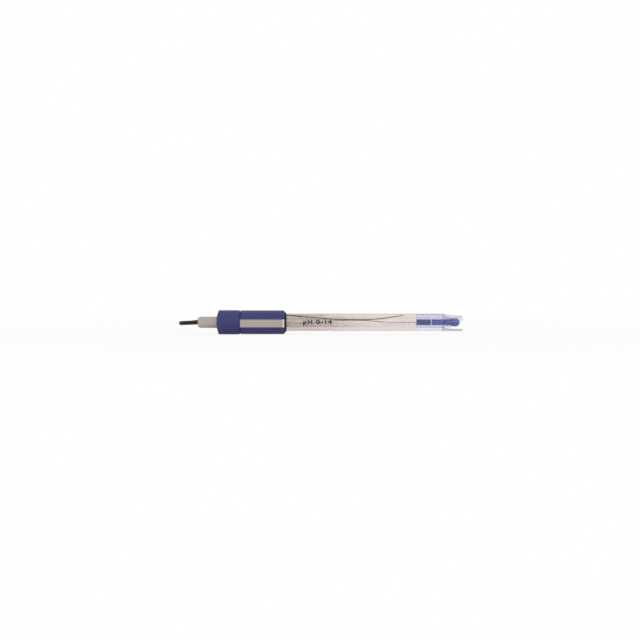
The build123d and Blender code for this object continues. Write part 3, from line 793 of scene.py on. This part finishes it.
standIn(blueCap, "electrode", "blue_plastic", "head_cap")
print("cap built")

# Materials of the head, the wires, the lead and the plug. Grains of moulded, turned and extruded skins are
# really 0.02 to 0.1 mm, and are drawn at 0.1 to 0.5 mm so that they show in the gloss.

# spark-eroded mould skin: an even satin that never mirrors
bluePolypropylene = shaded(
    "mouldedBluePolypropylene",
    ("#3A3B6E", "#3D3E71"),
    roughness=0.55,
    grain=0.16,
    depth=0.004,
    settings={"Specular IOR Level": 0.25},
)
# rubbery skin: warm grey without a highlight
greyElastomer = shaded("mouldedGreyElastomer", ("#B0A59D", "#B6ABA3"), roughness=0.6, grain=0.2, depth=0.006)
# harder and smoother than the sleeve: the same grey with a soft sheen, and a painted highlight on the front
# bevel
greyPolystyrene = shaded(
    "mouldedGreyPolystyrene", ("#AEA49D", "#B3AAA2"), roughness=0.5, grain=0.15, depth=0.003
)
tree = greyPolystyrene.node_tree
stripColour = tree.nodes["Principled BSDF"].inputs["Base Color"]
# painted highlight: the more a face turns towards the tip, the nearer its colour goes to a near-white grey
normal = addNode(tree, "ShaderNodeNewGeometry").outputs["Normal"]
toTip = addNode(tree, "ShaderNodeSeparateXYZ", None, {0: normal}).outputs["X"]
limits = {"From Min": 0.12, "From Max": 0.24}
paintedHighlightShare = addNode(tree, "ShaderNodeMapRange", None, {"Value": toTip, **limits}).outputs["Result"]
tints = {"Factor": paintedHighlightShare, "A": stripColour.links[0].from_socket, "B": toLinear("#EFE9E3")}
paintedHighlightMix = addNode(tree, "ShaderNodeMix", {"data_type": "RGBA"}, tints)
tree.links.new(paintedHighlightMix.outputs["Result"], stripColour)
# seal rubber: near black and matt
blackNitrile = shaded(
    "mouldedNitrileRubber",
    ("#1D1A1B", "#242122"),
    roughness=0.6,
    grain=0.12,
    depth=0.004,
    cloud=4.0,
    settings={"Specular IOR Level": 0.3},
)
# cable jacket: black with one soft line of light along it
blackPvc = shaded(
    "extrudedBlackPvc",
    ("#0F0D0C", "#151211"),
    roughness=0.5,
    grain=0.25,
    depth=0.003,
    cloud=6.0,
    settings={"Specular IOR Level": 0.25},
)
# stopper: a darker blue than the buffer's
stopperBlue = shaded(
    "mouldedBlueSilicone", ("#3B3E88", "#434690"), roughness=0.45, grain=0.2, depth=0.003, cloud=3.0
)
# soft pale grey, hidden in the head's end of the shaft
stopperGrey = shaded("mouldedGreySilicone", ("#B9B5B0", "#C2BEB9"), roughness=0.6, grain=0.3, depth=0.005)
# silver under its brown-grey chloride: a dull dark line
chloridedSilver = shaded(
    "chloridedSilver",
    ("#4A403B", "#5C504A"),
    roughness=0.5,
    grain=0.1,
    depth=0.004,
    cloud=2.0,
    settings={"Metallic": 0.6},
)
# thin insulation: dark and smooth
leadSleeving = shaded(
    "extrudedDarkSleeving", ("#2A2526", "#332D2E"), roughness=0.5, grain=0.1, depth=0.002, cloud=3.0
)
# unglazed ceramic: chalky white
porousCeramic = shaded(
    "firedPorousCeramic", ("#DDD9D2", "#E8E5DF"), roughness=0.8, grain=0.12, depth=0.01, cloud=1.0
)
# bare turned brass: warm yellow with a clean shine
turnedBrass = shaded(
    "turnedBrass", ("#B8924F", "#C39C5A"), roughness=0.3, grain=0.12, depth=0.003, settings={"Metallic": 1.0}
)
# fine rings from the lathe under bright plating: streaked silvery reflections
nickelPlate = shaded(
    "turnedNickelPlate",
    ("#BDBAB4", "#C6C3BD"),
    roughness=0.24,
    grain=0.12,
    depth=0.002,
    cloud=5.0,
    settings={"Metallic": 1.0},
    stretch=(4, 0.4, 0.4),
)
# thin gold: a warm spark in the plug's mouth
goldPlate = shaded(
    "goldPlatedPin", ("#D6AE5C", "#E0BA6A"), roughness=0.2, grain=0.1, depth=0.001, settings={"Metallic": 1.0}
)
# waxy white, turned smooth
ptfe = shaded("machinedPtfe", ("#E6E5E0", "#EEEDE9"), roughness=0.5, grain=0.15, depth=0.003)
# boot: black like the jacket, a little greyer and flatter
bootRubber = shaded(
    "mouldedBlackRubber", ("#211E1E", "#282425"), roughness=0.6, grain=0.18, depth=0.006, cloud=6.0
)
# ties: black strip with fine lines along it
nylonTie = shaded(
    "mouldedBlackNylon",
    ("#191818", "#201F1F"),
    roughness=0.45,
    grain=0.5,
    depth=0.02,
    cloud=4.0,
    stretch=(0.2, 1, 1),
)
# resin set in the head: dark brown and slightly glossy
castResin = shaded("castPottingResin", ("#34302D", "#3C3733"), roughness=0.4, grain=0.4, depth=0.004)

wearing = {
    "buffer_stopper": stopperBlue,
    "inner_wire": chloridedSilver,
    "junction_pin": porousCeramic,
    "reference_lead": leadSleeving,
    "reference_wire": chloridedSilver,
    "top_stopper": stopperGrey,
    "head_body": bluePolypropylene,
    "grey_inlay": greyPolystyrene,
    "seal_ring": blackNitrile,
    "cap_oring": blackNitrile,
    "cable_sleeve": greyElastomer,
    "cable_clamp": turnedBrass,
    "cable_head_end": blackPvc,
    "lead_joint": turnedBrass,
    "potting": castResin,
    "hank_ties": nylonTie,
    "plug_collar": nickelPlate,
    "plug_body": nickelPlate,
    "plug_gasket": blackNitrile,
    "collar_clip": nickelPlate,
    "spring_washer": nickelPlate,
    "plug_insulator": ptfe,
    "contact_pin": goldPlate,
    "plug_ferrule": nickelPlate,
    "cable_plug_end": blackPvc,
    "plug_boot": bootRubber,
}
for name, material in wearing.items():
    dress(nodes[name], material)
dress(blueCap, bluePolypropylene)
dress(leadCord, blackPvc)
print("materials on", len(wearing), "nodes")

# Bench and light: near the electrode the bench shows its own shade, and further out it turns to plain white
stage = {
    "floorRadius": 3.0,  # metres, like the next two
    "nearFade": 0.12,
    "farFade": 0.6,
    "nearWhite": 0.84,  # share of plain white up to nearFade
    "skyStrength": 0.78,  # what lights the scene, while the eye sees a sky of 1
    "lamps": [  # metres and watts
        {"name": "topSoftbox", "place": (0.0, -0.1, 0.9), "size": 1.2, "power": 1.0},
        {"name": "frontSoftbox", "place": (-0.3, -1.2, 0.2), "size": 0.8, "power": 3.0},
    ],
}


def seenByEye(tree):
    # 1 for what the camera sees straight, in a gloss or through a clear piece, and 0 for light on surfaces
    path = addNode(tree, "ShaderNodeLightPath")
    seen = path.outputs["Is Camera Ray"]
    for ray in ("Is Glossy Ray", "Is Transmission Ray"):
        either = addNode(tree, "ShaderNodeMath", {"operation": "MAXIMUM"}, {0: seen, 1: path.outputs[ray]})
        seen = either.outputs[0]
    return seen


def buildFloor(form):
    bmesh.ops.create_circle(form, cap_ends=True, segments=96, radius=stage["floorRadius"])


floor = meshPiece("floor", buildFloor)
paleBench, tree, shader = newMaterial("paleBench")
shader.inputs["Base Color"].default_value = toLinear("#F4F3F1")
shader.inputs["Roughness"].default_value = 0.9
shader.inputs["Specular IOR Level"].default_value = 0.1
where = addNode(tree, "ShaderNodeTexCoord").outputs["Object"]
reach = addNode(tree, "ShaderNodeVectorMath", {"operation": "LENGTH"}, {0: where}).outputs["Value"]
limits = {"From Min": stage["nearFade"], "From Max": stage["farFade"], "To Min": stage["nearWhite"]}
fade = addNode(tree, "ShaderNodeMapRange", None, {"Value": reach, **limits}).outputs["Result"]
share = addNode(tree, "ShaderNodeMath", {"operation": "MULTIPLY"}, {0: seenByEye(tree), 1: fade})
white = addNode(tree, "ShaderNodeEmission", None, {"Color": (1, 1, 1, 1), "Strength": 1.0})
mix = addNode(tree, "ShaderNodeMixShader", None, {"Fac": share.outputs[0]})
tree.links.new(shader.outputs["BSDF"], mix.inputs[1])
tree.links.new(white.outputs["Emission"], mix.inputs[2])
tree.links.new(mix.outputs["Shader"], tree.nodes["Material Output"].inputs["Surface"])
dress(floor, paleBench)

world = bpy.data.worlds.new("studio")
bpy.context.scene.world = world
world.use_nodes = True
tree = world.node_tree
tree.nodes.clear()
limits = {"To Min": stage["skyStrength"], "To Max": 1.0}
strength = addNode(tree, "ShaderNodeMapRange", None, {"Value": seenByEye(tree), **limits}).outputs["Result"]
sky = addNode(tree, "ShaderNodeBackground", None, {"Color": (1, 1, 1, 1), "Strength": strength})
addNode(tree, "ShaderNodeOutputWorld", None, {"Surface": sky.outputs["Background"]})

for lamp in stage["lamps"]:
    data = bpy.data.lights.new(lamp["name"], "AREA")
    data.shape = "SQUARE"
    data.size = lamp["size"]
    data.energy = lamp["power"]
    light = bpy.data.objects.new(lamp["name"], data)
    bpy.context.scene.collection.objects.link(light)
    light.location = lamp["place"]
    light.rotation_euler = (-light.location).to_track_quat("-Z", "Y").to_euler()
    light.visible_camera = False
    light.visible_transmission = False

bpy.context.scene.view_settings.view_transform = "Standard"
print("stage set")

bpy.context.view_layer.update()
